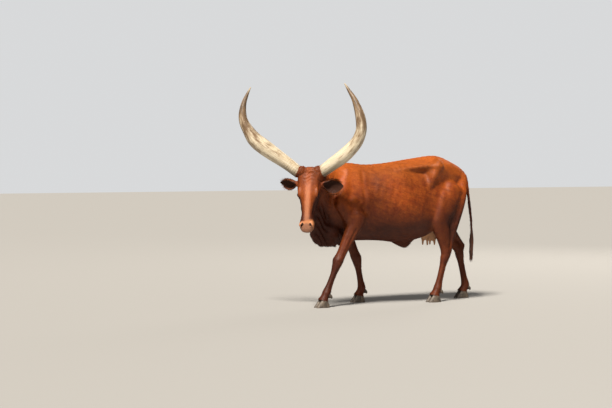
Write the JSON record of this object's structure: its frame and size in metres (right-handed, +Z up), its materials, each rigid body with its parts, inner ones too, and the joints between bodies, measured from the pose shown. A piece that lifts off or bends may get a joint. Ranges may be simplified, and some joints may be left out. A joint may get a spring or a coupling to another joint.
{
  "type": "ankole watusi cow",
  "caption": "Still life-size model of a red-brown ankole watusi cow in a slow walk, its head with long upswept horns turned to its left.",
  "frame": {"origin": "on the floor, under the middle of the box round the whole cow", "axes": "+X the way the cow walks, +Y to its left, +Z up"},
  "size_m": [2.3974, 0.847, 1.9503],
  "materials": {
    "coat": "short glossy red-brown hair",
    "horn": "cream horn, grey-brown towards the tip, dull sheen",
    "claw": "dark grey-brown claw horn",
    "eye": "dark brown, wet and clear",
    "switch_hair": "long dark brown tail hair"
  },
  "bodies": {
    "root": {"torso": "coat", "neck": "coat", "head": "coat", "tail": "coat", "leg_fore_left": "coat", "leg_fore_right": "coat", "leg_hind_left": "coat", "leg_hind_right": "coat", "ear_left": "coat", "ear_right": "coat", "tail_switch": "switch_hair", "claw_fore_left_left": "claw", "claw_fore_left_right": "claw", "claw_fore_right_left": "claw", "claw_fore_right_right": "claw", "claw_hind_left_left": "claw", "claw_hind_left_right": "claw", "claw_hind_right_left": "claw", "claw_hind_right_right": "claw", "horn_left": "horn", "horn_right": "horn", "eye_left": "eye", "eye_right": "eye"}
  },
  "joints": []
}
